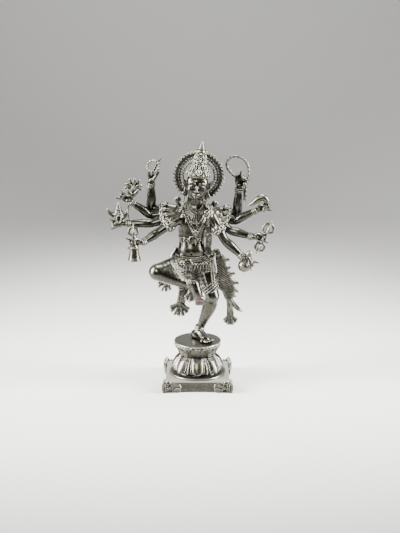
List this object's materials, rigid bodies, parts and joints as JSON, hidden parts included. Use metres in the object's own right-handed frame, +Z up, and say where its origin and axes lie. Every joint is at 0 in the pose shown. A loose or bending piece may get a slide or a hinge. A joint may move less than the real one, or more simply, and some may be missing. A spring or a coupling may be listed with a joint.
{
  "type": "shiva figure",
  "caption": "Cast bronze Shiva with many arms, dancing on one foot on a lotus pedestal, with an openwork halo, on a square plinth.",
  "frame": {"origin": "centre of the plinth's flat underside", "axes": "+Z up, +X to the viewer's right, -Y towards the viewer, whom the figure faces"},
  "size_m": [0.3281, 0.1438, 0.4936],
  "materials": {
    "bronze": "dark polished patina"
  },
  "bodies": {
    "root": {"plinth": "bronze", "lotus_pedestal": "bronze", "figure": "bronze", "halo": "bronze"}
  },
  "joints": []
}
